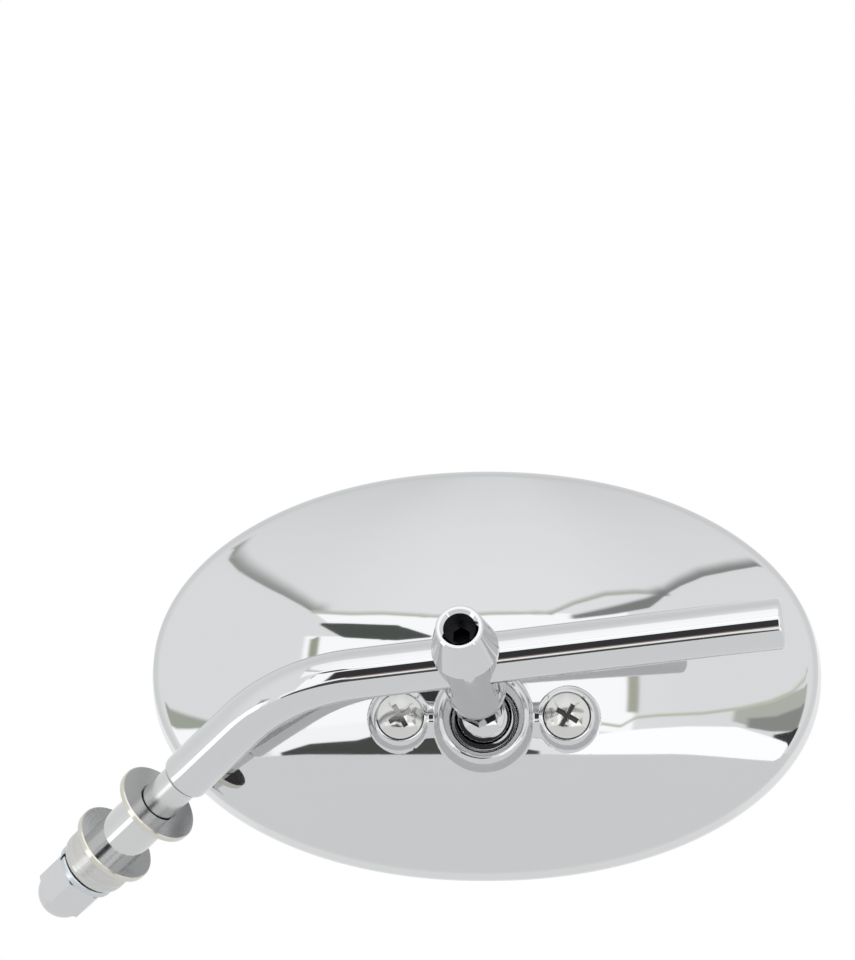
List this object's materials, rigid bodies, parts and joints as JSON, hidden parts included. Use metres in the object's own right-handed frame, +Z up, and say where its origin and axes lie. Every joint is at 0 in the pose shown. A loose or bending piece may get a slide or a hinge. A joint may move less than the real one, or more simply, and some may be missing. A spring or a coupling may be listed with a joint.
{
  "type": "motorcycle mirror",
  "caption": "Oval chromed motorcycle mirror on a bent steel stem, with a ball joint, a sliding rod clamp and a threaded shank with washers, sleeve, collar and acorn nut",
  "frame": {"origin": "on the shank's axis, in the middle of the spacer sleeve that a bracket grips", "axes": "+X along the glass's long axis towards the rod's free end, +Y the way the glass faces, +Z up"},
  "size_m": [0.1993, 0.0909, 0.1145],
  "materials": {
    "chrome_plate": "bright chrome plate over polished metal",
    "mirror_glass": "flat silvered glass",
    "black_rubber": "matt black rubber and foam",
    "moulded_liner": "plain moulded plastic",
    "zinc_steel": "zinc-plated steel, slightly blue",
    "screw_steel": "satin steel screw heads",
    "black_steel": "black oxide steel"
  },
  "bodies": {
    "mount_stack": {"spacer_sleeve": "chrome_plate", "washer_upper": "chrome_plate", "washer_lower": "chrome_plate", "collar": "chrome_plate"},
    "stem": {"stem": "chrome_plate", "stem_lock_washer": "zinc_steel", "acorn_nut": "chrome_plate"},
    "clamp": {"clamp_body": "chrome_plate", "set_screw": "black_steel"},
    "stud": {"ball_stud": "chrome_plate", "stud_lock_washer": "zinc_steel"},
    "liner": {"ball_liner": "moulded_liner"},
    "head": {"housing": "chrome_plate", "glass": "mirror_glass", "glass_gasket": "black_rubber", "backing_pad": "black_rubber", "pressure_cup": "zinc_steel", "spring_washer": "zinc_steel", "retainer_plate": "zinc_steel", "screw_left": "screw_steel", "screw_right": "screw_steel"}
  },
  "joints": [
    {"name": "stem_swivel", "type": "hinge", "parent": "mount_stack", "child": "stem", "pos_m": [0, 0, 0], "axis": [0.6305, -0.5816, 0.5141], "continuous": true},
    {"name": "clamp_slide", "type": "slide", "parent": "stem", "child": "clamp", "axis": [0.9924, -0.052, 0.1115], "range_m": [-0.003, 0.066]},
    {"name": "stud_turn", "type": "hinge", "parent": "clamp", "child": "stud", "pos_m": [0.0876, -0.00296, 0.02635], "axis": [-0.0826, -0.9533, 0.2905], "range_deg": [-140, 2]},
    {"name": "head_tilt", "type": "hinge", "parent": "stud", "child": "liner", "pos_m": [0.0876, -0.00296, 0.02635], "axis": [1, 0, 0], "range_deg": [-22, 0.5]},
    {"name": "head_pan", "type": "hinge", "parent": "liner", "child": "head", "pos_m": [0.0876, -0.00296, 0.02635], "axis": [0, 0, 1], "range_deg": [-14, 0.5]}
  ]
}
